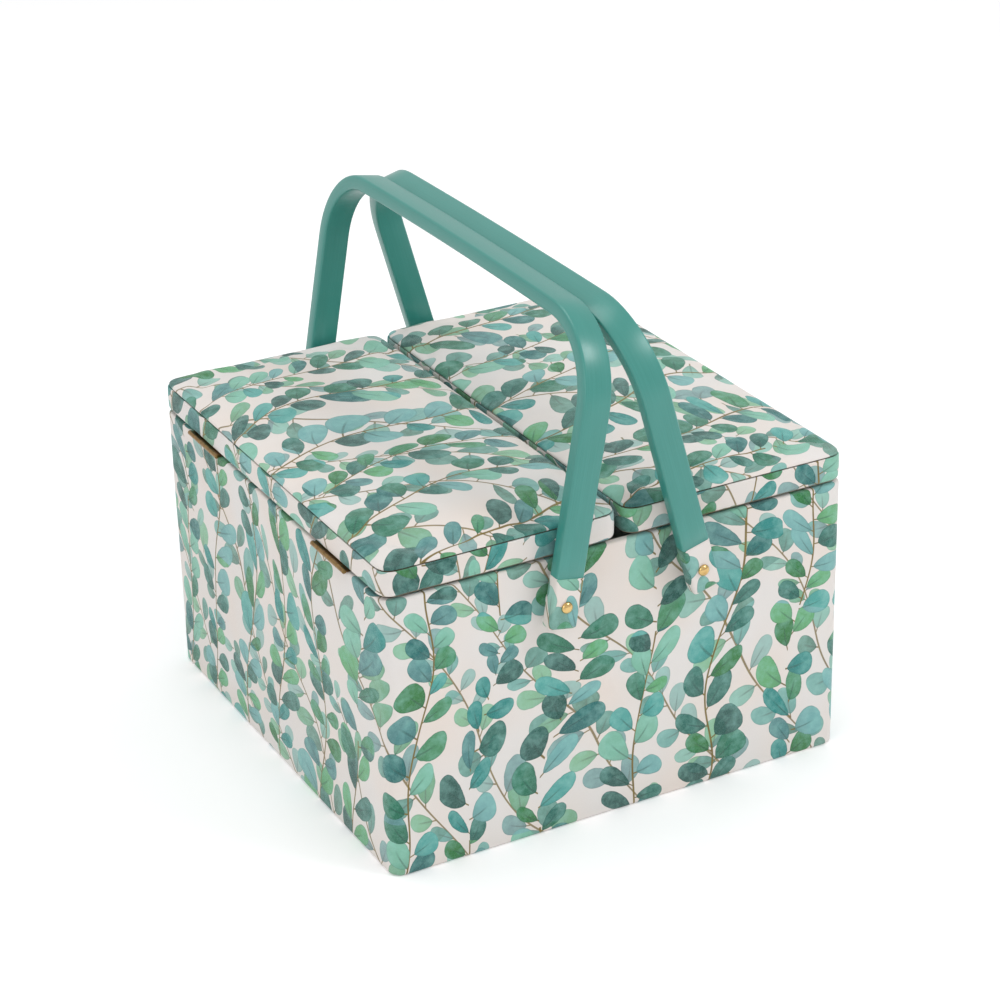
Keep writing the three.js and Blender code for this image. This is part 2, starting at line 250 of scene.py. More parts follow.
def vine_layer(shader, u, v, warp, seed, angle, width, pitch, shortest, longest, missing):
    """One layer of sprigs that climb along v: returns its masks and the data that tints a leaf."""
    cos, sin = math.cos(angle), math.sin(angle)
    across = u * cos - v * sin
    along = u * sin + v * cos
    column = (across / width).op("FLOOR")
    chance = shader.dice(column, seed, 0.5)
    along = along + chance[0] * 97.0
    wave = (along / 19.0 + chance[1] * math.tau).op("SINE") * 1.8
    from_stem = across - (column + 0.5) * width - wave
    side = from_stem.op("SIGN")
    out = from_stem.op("ABSOLUTE")
    first = ((along + 4.0) / pitch + side * 0.25).op("FLOOR")
    sprig = shader.dice(column, (along / 88.0).op("FLOOR"), seed + 3.5)

    def leaf(step):
        index = first - step if step else first
        up = along - (index - side * 0.25) * pitch
        ra, rb, rc, rd = shader.dice(index, column * 2.0 + side * 0.5, seed)
        tilt = rb * 0.82 + 0.4
        sine, cosine = tilt.op("SINE"), tilt.op("COSINE")
        stalk = ra * 1.8 + 0.8
        reach = out * sine + up * cosine - stalk
        beside = out * cosine - up * sine
        length = rc * (longest - shortest) + shortest
        half = length * (rd * 0.16 + 0.27)
        beside = beside + (reach - length * 0.5) * (reach - length * 0.5) * (0.022 * 0.5) - 0.2
        share = reach / length
        safe = share.op("MINIMUM", 0.9995).op("MAXIMUM", 0.0005)
        shape = (safe ** 0.72) * ((1.0 - safe) ** 0.44) * 2.16
        inside = half * shape - beside.op("ABSOLUTE") + (warp[2] - 0.5) * 0.5
        present = (ra * 7.0 + rb * 3.0).op("FRACT").above(missing)
        mask = ((inside - 0.12) * 8.0).clamp() * present * share.above(0.0) * share.below(1.0)
        line = ((0.36 - beside.op("ABSOLUTE")) * 5.0).clamp()
        petiole = line * reach.below(0.6) * (reach + stalk).above(-0.2) * present
        vein = ((0.42 - beside.op("ABSOLUTE")) * 4.0).clamp() * (0.72 - share).op("MULTIPLY", 3.0).clamp()
        tone = (sprig[0] + (rc - 0.5) * 0.5 + (ra - 0.5) * 0.3).op("FRACT")
        return {"mask": mask, "petiole": petiole, "vein": vein, "tone": tone, "share": share,
                "inside": inside, "wash": rd}

    upper, lower = leaf(0), leaf(1)
    pick = upper["mask"]
    leaf_data = {key: lower[key].mix(upper[key], pick) for key in ("vein", "share", "inside", "wash")}
    hard = pick.above(0.5)
    leaf_data["tone"] = lower["tone"].mix(upper["tone"], hard)
    leaf_data["mask"] = upper["mask"].op("MAXIMUM", lower["mask"])
    stem = ((0.46 - out) * 5.0).clamp() * sprig[1].above(0.12)
    leaf_data["stem"] = stem.op("MAXIMUM", upper["petiole"].op("MAXIMUM", lower["petiole"]))
    return leaf_data


def tint_layer(shader, below, data, palette, blotch, speckle, strength):
    """Paints one layer of stems and leaves over the colour below."""
    stem_color = shader.blend(blotch, STEM, STEM_DARK)
    color = shader.blend(data["stem"] * strength, below, stem_color)
    stops = [(i / len(palette), tone) for i, tone in enumerate(palette)]
    leaf = shader.ramp(data["tone"], stops, "CONSTANT")
    pale = shader.blend(0.42, leaf, paint(158, 218, 208))
    deep = shader.blend(0.66, leaf, paint(4, 58, 52))
    wash = (blotch * 1.9 - 0.75 + (data["share"] - 0.5) * 0.5).clamp()
    leaf = shader.blend(wash, leaf, pale)
    pool = (0.42 - data["share"]).op("MULTIPLY", 1.3).clamp() * 0.75
    leaf = shader.blend(pool, leaf, deep)
    rim = ((0.7 - data["inside"]) * 2.2).clamp() * 0.5
    leaf = shader.blend(rim, leaf, deep)
    leaf = shader.blend(data["vein"] * 0.8, leaf, deep)
    leaf = shader.blend((speckle * 1.7 - 0.5).clamp() * 0.3, leaf, pale)
    return shader.blend(data["mask"] * strength, color, leaf)


def printed_canvas():
    shader = Shader("printed_canvas")
    u, v = shader.uv()
    flat = shader.vector(u, v, 0.0)
    bend = shader.split(shader.noise(flat, 1 / 95, 0.0).outputs[1])
    ragged = shader.noise_value(flat, 1 / 5, 1.0)
    wide_u = u / PRINT_SCALE + (bend[0] - 0.5) * 22.0
    wide_v = v / PRINT_SCALE + (bend[1] - 0.5) * 22.0
    warp = [bend[0], bend[1], ragged]
    blotch = shader.noise_value(flat, 1 / 7, 3.0, 0.6)
    speckle = shader.noise_value(flat, 1 / 0.9, 2.0, 0.6)
    wash = shader.noise_value(flat, 1 / 55, 1.0)
    ground = shader.blend((wash * 2.2 - 0.7).clamp(), GROUND, GROUND_WARM)
    ground = shader.blend(speckle * 0.12, ground, paint(206, 198, 190))
    pale = vine_layer(shader, wide_u, wide_v, warp, 41.0, math.radians(-34), 30.0, 11.5, 9.0, 12.5, 0.06)
    color = tint_layer(shader, ground, pale, PALE_COLORS, blotch, speckle, 0.86)
    main = vine_layer(shader, wide_u, wide_v, warp, 7.0, math.radians(7), 31.0, 11.0, 10.5, 14.5, 0.03)
    color = tint_layer(shader, color, main, LEAF_COLORS, blotch, speckle, 0.97)
    threads = weave(u, v, 0.62)
    color = shader.blend(threads * 0.10, color, paint(120, 118, 112), "MULTIPLY")
    height = threads + speckle * 0.8
    shader.set(Base_Color=color, Roughness=0.82, Normal=shader.bump(height, 0.00016, 0.8))
    shader.set(Sheen_Weight=0.25, Sheen_Roughness=0.5, Specular_IOR_Level=0.25)
    return shader.material


# ---------------------------------------------------------------- other materials

def plain_cloth(name, light, dark, pitch=0.7):
    shader = Shader(name)
    x, y, z = shader.place()
    spot = shader.vector(x, y, z)
    fuzz = shader.noise_value(spot, 1 / 1.1, 3.0, 0.6, flat=False)
    wide = shader.noise_value(spot, 1 / 38, 2.0, 0.5, flat=False)
    turn = math.tau / pitch
    threads = ((x + z) * turn).op("SINE") * ((y + z) * turn).op("SINE") * 0.5 + 0.5
    color = shader.blend((fuzz * 0.5 + wide * 0.7 - 0.2).clamp(), light, dark)
    color = shader.blend(threads * 0.2, color, dark)
    shader.set(Base_Color=color, Roughness=0.86, Normal=shader.bump(threads + fuzz, 0.00015, 0.5))
    shader.set(Sheen_Weight=0.3, Sheen_Roughness=0.5, Specular_IOR_Level=0.25)
    return shader.material


def fibre_board():
    shader = Shader("fibre_board")
    x, y, z = shader.place()
    fibres = shader.noise_value(shader.vector(x, y, z * 6.0), 1 / 3, 4.0, 0.65, flat=False)
    cloud = shader.noise_value(shader.vector(x, y, z), 1 / 30, 2.0, 0.5, flat=False)
    color = shader.ramp(fibres * 0.6 + cloud * 0.4, [
        (0.25, paint(122, 92, 62)), (0.5, paint(160, 126, 88)), (0.8, paint(188, 154, 112)),
    ])
    shader.set(Base_Color=color, Roughness=0.8, Normal=shader.bump(fibres, 0.0002, 0.4))
    return shader.material


def satin_plastic():
    """Moulded strap plastic with fine streaks along its length and a painted highlight along its rounded
    edges.
    """
    shader = Shader("strap_plastic")
    along, across = shader.uv()
    streaks = shader.noise_value(shader.vector(along / 60.0, across * 2.6, 0.0), 1.0, 3.0, 0.55)
    cloud = shader.noise_value(shader.vector(along / 30.0, across / 8.0, 0.0), 1.0, 2.0, 0.5)
    edge = Term(shader.tree, shader.node("ShaderNodeNewGeometry").outputs["Pointiness"])
    mottle = (streaks * 0.8 + cloud * 0.35 - 0.1).clamp()
    color = shader.blend(mottle, paint(40, 121, 111), paint(60, 138, 129))
    # painted highlight: paler colour on the sharpest convex edges (pointiness), standing in for light caught
    # by the rounded edges
    color = shader.blend(((edge - 0.52) * 9.0).clamp() * 0.5, color, paint(104, 176, 164))
    rough = streaks * 0.12 + cloud * 0.06 + 0.24
    shader.set(Base_Color=color, Roughness=rough, Normal=shader.bump(streaks, 0.00006, 0.5))
    shader.set(Coat_Weight=0.12, Coat_Roughness=0.2, Specular_IOR_Level=0.55)
    return shader.material


def moulded_plastic(name, base, shade):
    shader = Shader(name)
    x, y, z = shader.place()
    spot = shader.vector(x, y, z)
    grain = shader.noise_value(spot, 1 / 0.8, 2.0, 0.5, flat=False)
    cloud = shader.noise_value(spot, 1 / 40, 2.0, 0.5, flat=False)
    color = shader.blend((cloud * 1.2 - 0.2).clamp(), base, shade)
    shader.set(Base_Color=color, Roughness=grain * 0.15 + 0.38, Normal=shader.bump(grain, 0.00005, 0.4))
    return shader.material


def brass(name, light, dark, gloss):
    shader = Shader(name)
    x, y, z = shader.place()
    spot = shader.vector(x, y, z)
    scuffs = shader.noise_value(spot, 1 / 1.5, 4.0, 0.6, flat=False)
    tarnish = shader.noise_value(spot, 1 / 4, 2.0, 0.5, flat=False)
    color = shader.blend((tarnish * 1.3 - 0.35).clamp(), light, dark)
    shader.set(Base_Color=color, Roughness=scuffs * 0.16 + gloss, Normal=shader.bump(scuffs, 0.00004, 0.3))
    shader.set(Metallic=1.0)
    return shader.material


def floor_paint():
    shader = Shader("studio_floor")
    x, y, z = shader.place()
    cloud = shader.noise_value(shader.vector(x, y, z), 1 / 400, 1.0, 0.5, flat=False)
    color = shader.blend(cloud, paint(250, 250, 250), paint(246, 246, 247))
    shader.set(Base_Color=color, Roughness=0.9, Specular_IOR_Level=0.1)
    shader.set(Emission_Color=color, Emission_Strength=0.12)
    return shader.material


PRINT = printed_canvas()
LINING = plain_cloth("lining_cotton", paint(240, 234, 224), paint(214, 205, 192))
TEAL_CLOTH = plain_cloth("pincushion_cotton", paint(92, 166, 150), paint(48, 120, 106))
BOARD = fibre_board()
STRAP = satin_plastic()
TRAY = moulded_plastic("tray_plastic", paint(236, 240, 237), paint(222, 229, 226))
NYLON = moulded_plastic("spacer_plastic", paint(214, 222, 218), paint(188, 198, 194))
BRASS = brass("polished_brass", paint(222, 190, 128), paint(178, 138, 84), 0.1)
OLD_BRASS = brass("hinge_brass", paint(158, 128, 84), paint(104, 80, 52), 0.24)


# ---------------------------------------------------------------- mesh helpers

def make(name, mesh, material, body, replaces=()):
    piece = bpy.data.objects.new(name, mesh)
    bpy.context.collection.objects.link(piece)
    mesh.materials.append(material)
    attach(piece, body)
    if replaces:
        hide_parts(*replaces)
    return piece


def shade(mesh, degrees=40):
    for face in mesh.polygons:
        face.use_smooth = True
    mesh.set_sharp_from_angle(angle=math.radians(degrees))


def outline(half_x, half_y, radius, step=6 * MM, arc=8, centre=(0.0, 0.0)):
    """Anticlockwise rounded rectangle from the middle of the back: points, outward normals and run."""
    corners = [
        (half_x - radius, half_y - radius), (radius - half_x, half_y - radius),
        (radius - half_x, radius - half_y), (half_x - radius, radius - half_y),
    ]
    points = []

    def line(start, end, normal):
        count = max(1, round((end - start).length / step))
        points.extend((start.lerp(end, i / count), normal) for i in range(count))

    def turn(cx, cy, start):
        for i in range(arc):
            angle = math.radians(start + 90 * i / arc)
            normal = Vector((math.cos(angle), math.sin(angle)))
            points.append((Vector((cx, cy)) + normal * radius, normal))

    back = half_y
    line(Vector((0, back)), Vector((radius - half_x, back)), Vector((0, 1)))
    turn(*corners[1], 90)
    line(Vector((-half_x, half_y - radius)), Vector((-half_x, radius - half_y)), Vector((-1, 0)))
    turn(*corners[2], 180)
    line(Vector((radius - half_x, -back)), Vector((half_x - radius, -back)), Vector((0, -1)))
    turn(*corners[3], 270)
    line(Vector((half_x, radius - half_y)), Vector((half_x, half_y - radius)), Vector((1, 0)))
    turn(*corners[0], 0)
    line(Vector((half_x - radius, back)), Vector((0, back)), Vector((0, 1)))
    run, travelled = [0.0], 0.0
    for (a, _), (b, _) in zip(points, points[1:] + points[:1]):
        travelled += (b - a).length
        run.append(travelled)
    shift = Vector(centre)
    return [(p + shift, n) for p, n in points], run


def loft(rows, uv_rows=None, wrap=True, close=False, caps=()):
    """A mesh through rows of points. uv_rows has one more column than rows where the rows wrap."""
    shape = bmesh.new()
    layer = shape.loops.layers.uv.new("cloth")
    grid = [[shape.verts.new(p) for p in row] for row in rows]
    count = len(rows[0])
    columns = count if wrap else count - 1
    bands = len(rows) if close else len(rows) - 1
    for r in range(bands):
        below, above = grid[r], grid[(r + 1) % len(rows)]
        for c in range(columns):
            d = (c + 1) % count
            face = shape.faces.new((below[c], below[d], above[d], above[c]))
            if uv_rows:
                spots = (uv_rows[r][c], uv_rows[r][c + 1], uv_rows[r + 1][c + 1], uv_rows[r + 1][c])
                for loop, spot in zip(face.loops, spots):
                    loop[layer].uv = spot
    for which in caps:
        row = grid[which]
        face = shape.faces.new(row)
        for loop in face.loops:
            loop[layer].uv = (loop.vert.co.x, loop.vert.co.y)
    bmesh.ops.recalc_face_normals(shape, faces=shape.faces)
    mesh = bpy.data.meshes.new("loft")
    shape.to_mesh(mesh)
    shape.free()
    return mesh


def wrap_cloth(half_x, half_y, radius, profile, centre=(0.0, 0.0), ripple=0.0, start=0.0, step=6 * MM):
    """A closed band of cloth round a rounded rectangle. profile is a closed list of (inset, height)."""
    points, run = outline(half_x, half_y, radius, step, centre=centre)
    rows, uv_rows, travelled = [], [], 0.0
    previous = None
    for inset, height in profile:
        if previous:
            travelled += math.hypot(inset - previous[0], height - previous[1])
        previous = (inset, height)
        row = []
        for point, normal in points:
            spot = Vector((*(point - normal * inset), height))
            swell = noise.noise(spot * 28) * ripple if inset < radius * 0.4 else 0.0
            row.append(spot + Vector((*normal, 0.0)) * swell)
        rows.append(row)
        uv_rows.append([(start + s, travelled) for s in run])
    inset, height = profile[0]
    travelled += math.hypot(inset - previous[0], height - previous[1])
    uv_rows.append([(start + s, travelled) for s in run])
    return loft(rows, uv_rows, wrap=True, close=True)


def cover(piece, half_x, half_y, radius, height, *under):
    """Measures the length round a rounded rectangle."""
    length = outline(half_x, half_y, radius)[1][-1]


def soften(node, name, material, body, width, segments=2, degrees=30):
    """A copy of a moulded or turned CAD part with its edges rounded over."""
    mesh = frame["nodes"][node].data.copy()
    shape = bmesh.new()
    shape.from_mesh(mesh)
    bmesh.ops.remove_doubles(shape, verts=shape.verts, dist=1e-6)
    bmesh.ops.dissolve_limit(
        shape, angle_limit=math.radians(1), verts=shape.verts, edges=shape.edges,
    )
    shape.to_mesh(mesh)
    shape.free()
    mesh.materials.clear()
    piece = make(name, mesh, material, body, [node])
    piece.matrix_world = frame["nodes"][node].matrix_world.copy()
    bevel = piece.modifiers.new("rounded", "BEVEL")
    bevel.width = width
    bevel.segments = segments
    bevel.limit_method = "ANGLE"
    bevel.angle_limit = math.radians(degrees)
    bevel.harden_normals = True
    shade(mesh, 30)
    return piece


# ---------------------------------------------------------------- box

def box_cloth():
    top, skin, roll = BOX_TOP, 0.8 * MM, 1.4 * MM
    foot = 1.6 * MM
    profile = [(STACK - 1.2 * MM, top - 0.1 * MM), (roll, top)]
    profile += [
        (roll - roll * math.sin(a), top - roll + roll * math.cos(a))
        for a in (math.radians(30), math.radians(60), math.radians(90))
    ]
    courses = 14
    profile += [(0.0, top - roll - (top - roll - foot) * i / courses) for i in range(1, courses)]
    profile += [
        (foot - foot * math.cos(a), foot - foot * math.sin(a))
        for a in (0.0, math.radians(30), math.radians(60), math.radians(90))
    ]
    profile += [(7.4 * MM, 0.0), (7.4 * MM, skin), (skin + foot, skin), (skin, foot + skin)]
    profile += [(skin, top - roll), (STACK - 1.2 * MM, top - skin - 0.1 * MM)]
    mesh = wrap_cloth(BOX_X, BOX_Y, BOX_RADIUS, profile, ripple=0.22 * MM)
    for layer in mesh.uv_layers:
        for corner in layer.data:
            corner.uv.y = -corner.uv.y
    shade(mesh, 50)
    piece = make("box_cloth", mesh, PRINT, "box", ["outer_wrap"])
    walls = [f"{word}_panel" for word in ("left", "right", "front", "back")]
    cover(piece, BOX_X, BOX_Y, BOX_RADIUS, 0.187, *walls)


def plate(name, half_x, half_y, radius, low, high, edge, material, body, replaces, centre=(0.0, 0.0)):
    """A thin rounded plate with softened rims."""
    points, _ = outline(half_x, half_y, radius, 12 * MM, centre=centre)
    levels = [
        (edge * 4, low), (edge, low), (0.0, low + edge),
        (0.0, high - edge), (edge, high), (edge * 4, high),
    ]
    rows = [[Vector((*(p - n * inset), z)) for p, n in points] for inset, z in levels]
    mesh = loft(rows, caps=(0, -1))
    shade(mesh, 50)
    return make(name, mesh, material, body, replaces)


def box_lining():
    low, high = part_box("lining_walls")
    skin = 0.8 * MM
    half_x, half_y = high[0], high[1]
    courses = 12
    profile = [(0.0, low[2]), (skin, low[2])]
    profile += [(skin, low[2] + (high[2] - low[2] - skin) * i / courses) for i in range(1, courses + 1)]
    profile += [(skin * 0.5, high[2]), (0.0, high[2] - skin * 0.5)]
    mesh = wrap_cloth(half_x, half_y, 4 * MM, profile, step=10 * MM)
    shade(mesh, 50)
    piece = make("lining_walls_cloth", mesh, LINING, "box", ["lining_walls"])
    cover(piece, half_x, half_y, 4 * MM, 0.171, "left_panel", "right_panel", "front_panel", "back_panel")
    low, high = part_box("lining_floor")
    plate("lining_floor_cloth", high[0], high[1], 4 * MM, low[2], high[2], 0.25 * MM,
          LINING, "box", ["lining_floor"])


def base_cloth():
    _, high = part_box("base_cover")
    inset = 7.6 * MM
    plate("base_cloth", high[0] - inset, high[1] - inset, 1.2 * MM, 0.0, 0.9 * MM, 0.2 * MM,
          LINING, "box", ["base_cover"])


# ---------------------------------------------------------------- lids

def lid_band(word, side):
    low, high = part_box(f"lid_{word}_band")
    half_x, half_y = (high[0] - low[0]) / 2, (high[1] - low[1]) / 2
    centre = ((low[0] + high[0]) / 2, 0.0)
    bottom, top, roll = low[2], high[2], 2.4 * MM
    profile = [(3.0 * MM, top - 1.2 * MM), (1.2 * MM, top - 0.25 * MM), (0.4 * MM, top - 0.1 * MM),
               (0.1 * MM, top - 0.5 * MM), (0.0, top - 1.8 * MM)]
    profile += [(-0.15 * MM, top - 6 * MM), (-0.1 * MM, bottom + roll + 2.5 * MM)]
    profile += [
        (roll - roll * math.cos(a), bottom + roll - roll * math.sin(a))
        for a in (0.0, math.radians(30), math.radians(60), math.radians(90))
    ]
    turned = STACK + 0.2 * MM
    profile += [(STACK - 0.6 * MM, bottom), (turned, bottom + 0.6 * MM), (turned, bottom + 5 * MM)]
    profile += [(STACK - 0.5 * MM, bottom + 5 * MM), (STACK - 0.5 * MM, bottom + 0.9 * MM)]
    profile += [(roll, bottom + 0.8 * MM), (0.8 * MM, bottom + roll + 0.6 * MM), (0.8 * MM, top - 2.4 * MM)]
    mesh = wrap_cloth(half_x, half_y, LID_RADIUS, profile, centre, 0.2 * MM, start=side * 0.37)
    for layer in mesh.uv_layers:
        for corner in layer.data:
            corner.uv.y = -corner.uv.y - 0.021
    shade(mesh, 60)
    piece = make(f"lid_{word}_band_cloth", mesh, PRINT, f"lid_{word}", [f"lid_{word}_band"])
    cover(piece, half_x, half_y, LID_RADIUS, 0.028, f"lid_{word}_rim")


def corner_pull(x, y, half_x, half_y, radius):
    """Maps a square grid's corner onto a round one."""
    dx, dy = abs(x) - (half_x - radius), abs(y) - (half_y - radius)
    if dx <= 0 or dy <= 0:
        return x, y
    shrink = max(dx, dy) / math.hypot(dx, dy)
    return (
        math.copysign(half_x - radius + dx * shrink, x),
        math.copysign(half_y - radius + dy * shrink, y),
    )


def grid_pad(half_x, half_y, radius, pitch, skirt):
    """A flat pad: a square grid on top, then a skirt of (outset, drop) rows round it and a flat underside."""
    nx, ny = round(2 * half_x / pitch), round(2 * half_y / pitch)
    shape = bmesh.new()
    grid = {}
    for i in range(nx + 1):
        for j in range(ny + 1):
            x, y = half_x * (2 * i / nx - 1), half_y * (2 * j / ny - 1)
            grid[i, j] = shape.verts.new((*corner_pull(x, y, half_x, half_y, radius), 0.0))
    for i in range(nx):
        for j in range(ny):
            shape.faces.new((grid[i, j], grid[i + 1, j], grid[i + 1, j + 1], grid[i, j + 1]))
    rim = [grid[i, 0] for i in range(nx)] + [grid[nx, j] for j in range(ny)]
    rim += [grid[i, ny] for i in range(nx, 0, -1)] + [grid[0, j] for j in range(ny, 0, -1)]
    inner_x, inner_y = half_x - radius, half_y - radius
    previous = rim
    for outset, drop in skirt:
        ring = []
        for vert in rim:
            x, y = vert.co.x, vert.co.y
            away = Vector((x - max(-inner_x, min(inner_x, x)), y - max(-inner_y, min(inner_y, y)), 0))
            ring.append(shape.verts.new(vert.co + away.normalized() * outset - Vector((0, 0, drop))))
        for a in range(len(rim)):
            b = (a + 1) % len(rim)
            shape.faces.new((previous[b], previous[a], ring[a], ring[b]))
        previous = ring
    floor = {}
    spots = [(i, 0) for i in range(nx)] + [(nx, j) for j in range(ny)]
    spots += [(i, ny) for i in range(nx, 0, -1)] + [(0, j) for j in range(ny, 0, -1)]
    floor.update(zip(spots, previous))
    level = previous[0].co.z
    for i in range(1, nx):
        for j in range(1, ny):
            above = grid[i, j].co
            floor[i, j] = shape.verts.new((above.x * 0.98, above.y * 0.98, level))
    for i in range(nx):
        for j in range(ny):
            shape.faces.new((floor[i, j], floor[i, j + 1], floor[i + 1, j + 1], floor[i + 1, j]))
    bmesh.ops.recalc_face_normals(shape, faces=shape.faces)
    mesh = bpy.data.meshes.new("pad")
    shape.to_mesh(mesh)
    shape.free()
    return mesh


def edge_distance(x, y, half_x, half_y):
    return min(half_x - abs(x), half_y - abs(y))


def inflate(piece, half_x, half_y, tallest, pressure, frames=20, soft=0.02):
    """Cloth under pressure, held round its rim; the rise is capped so that it stays a firm pad."""
    mesh = piece.data
    flat = [v.co.copy() for v in mesh.vertices]
    held = piece.vertex_groups.new(name="held")
    for v in mesh.vertices:
        rim = edge_distance(v.co.x, v.co.y, half_x, half_y) < 0.4 * MM
        held.add([v.index], 1.0 if rim or v.co.z < -1e-6 else 0.0, "REPLACE")
    cloth = piece.modifiers.new("cloth", "CLOTH")
    settings = cloth.settings
    settings.quality = 6
    settings.mass = 0.25
    settings.tension_stiffness = settings.compression_stiffness = 12
    settings.shear_stiffness = 6
    settings.bending_stiffness = 0.6
    settings.use_pressure = True
    settings.uniform_pressure_force = pressure
    settings.vertex_group_mass = "held"
    settings.shrink_min = -soft
    settings.effector_weights.gravity = 0
    cloth.collision_settings.use_self_collision = False
    scene = bpy.context.scene
    scene.frame_start, scene.frame_end = 1, frames
    for number in range(1, frames + 1):
        scene.frame_set(number)
    risen = piece.evaluated_get(bpy.context.evaluated_depsgraph_get())
    moved = [v.co.copy() for v in risen.data.vertices]
    piece.modifiers.remove(cloth)
    piece.vertex_groups.clear()
    scene.frame_set(1)
    for v, start, end in zip(mesh.vertices, flat, moved):
        if start.z < -1e-6:
            continue
        rise = max(0.0, end.z - start.z)
        slide = Vector((end.x - start.x, end.y - start.y, 0))
        if slide.length > 2 * MM:
            slide *= 2 * MM / slide.length
        v.co = start + slide + Vector((0, 0, tallest * (1 - math.exp(-1.5 * rise / tallest))))


def print_flat(mesh, turned, shift):
    """Lays the cloth's print straight down on a pad."""
    layer = mesh.uv_layers.new(name="cloth") if not mesh.uv_layers else mesh.uv_layers[0]
    for loop in mesh.loops:
        point = mesh.vertices[loop.vertex_index].co
        spot = (point.y, point.x) if turned else (point.x, point.y)
        layer.data[loop.index].uv = (spot[0] + shift[0], spot[1] + shift[1])


def lid_top(word, side):
    low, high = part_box(f"lid_{word}_top_cover")
    half_x, half_y = (high[0] - low[0]) / 2, (high[1] - low[1]) / 2
    centre = Vector(((low[0] + high[0]) / 2, 0.0, 0.0))
    pad_x, pad_y = half_x - 0.9 * MM, half_y - 0.9 * MM
    skirt = [(0.7 * MM, 0.7 * MM), (0.86 * MM, 1.5 * MM), (0.6 * MM, 2.1 * MM), (-1.5 * MM, 2.4 * MM)]
    mesh = grid_pad(pad_x, pad_y, LID_RADIUS - 1.5 * MM, 4.6 * MM, skirt)
    piece = make(
        f"lid_{word}_padded_top", mesh, PRINT, f"lid_{word}",
        [f"lid_{word}_top_cover", f"lid_{word}_foam"],
    )
    inflate(piece, pad_x, pad_y, 7.0 * MM, 3.2)
    for v in mesh.vertices:
        if v.co.z > -1e-6:
            edge = edge_distance(v.co.x, v.co.y, pad_x, pad_y)
            corner = math.hypot(pad_x - abs(v.co.x), pad_y - abs(v.co.y))
            pucker = noise.noise(Vector((v.co.x, v.co.y, side * 0.3)) * 55) * math.exp(-edge / (9 * MM))
            tuck = math.exp(-corner / (14 * MM)) * math.sin(corner * 900)
            v.co.z += (pucker * 0.55 - tuck * 0.35) * MM * min(1.0, edge / (3 * MM))
            v.co.z += noise.noise(Vector((v.co.x, v.co.y, side)) * 14) * 0.5 * MM * min(1.0, edge / (12 * MM))
    rim_level = low[2] + 2.0 * MM
    for v in mesh.vertices:
        v.co += centre + Vector((0, 0, rim_level))
    print_flat(mesh, True, (0.13 * side, 0.31 + 0.2 * side))
    shade(mesh, 70)
    smooth = piece.modifiers.new("fine", "SUBSURF")
    smooth.levels = smooth.render_levels = 1


def lid_underside(word):
    low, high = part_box(f"lid_{word}_lining")
    half_x, half_y = (high[0] - low[0]) / 2, (high[1] - low[1]) / 2
    centre = ((low[0] + high[0]) / 2, 0.0)
    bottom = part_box(f"lid_{word}_rim")[0][2] + 0.9 * MM
    top = high[2]
    points, _ = outline(half_x, half_y, 4 * MM, 12 * MM, centre=centre)
    levels = [
        (2.4 * MM, top), (0.0, top), (0.0, bottom), (0.5 * MM, bottom - 0.2 * MM), (0.9 * MM, bottom),
        (1.0 * MM, low[2] - 1.2 * MM), (2.2 * MM, low[2]), (3.2 * MM, low[2]),
    ]
    rows = [[Vector((*(p - n * inset), z)) for p, n in points] for inset, z in levels]
    mesh = loft(rows, caps=(0, -1))
    shade(mesh, 50)
    make(f"lid_{word}_lining_cloth", mesh, LINING, f"lid_{word}", [f"lid_{word}_lining"])


def pincushion():
    low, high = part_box("pincushion")
    half = (high[0] - low[0]) / 2
    centre = (low + high) / 2
    skirt = [(0.8 * MM, 0.8 * MM), (0.6 * MM, 2.0 * MM), (-1.0 * MM, 2.6 * MM)]
    mesh = grid_pad(half - 1.5 * MM, half - 1.5 * MM, 18 * MM, 4.0 * MM, skirt)
    piece = make("pincushion_pad", mesh, TEAL_CLOTH, "lid_left", ["pincushion"])
    inflate(piece, half, half, 5.2 * MM, 4.0, soft=0.03)
    for v in mesh.vertices:
        radius = math.hypot(v.co.x, v.co.y)
        if v.co.z > -1e-6:
            v.co.z -= 3.0 * MM * math.exp(-((radius / (6 * MM)) ** 2))
            v.co.z += noise.noise(v.co * 60) * 0.3 * MM
        v.co = Vector((centre.x + v.co.x, centre.y - v.co.y, high[2] - 2.6 * MM - v.co.z))
    shape = bmesh.new()
    shape.from_mesh(mesh)
    bmesh.ops.recalc_face_normals(shape, faces=shape.faces)
    shape.to_mesh(mesh)
    shape.free()
    shade(mesh, 70)
    smooth = piece.modifiers.new("fine", "SUBSURF")
    smooth.levels = smooth.render_levels = 1


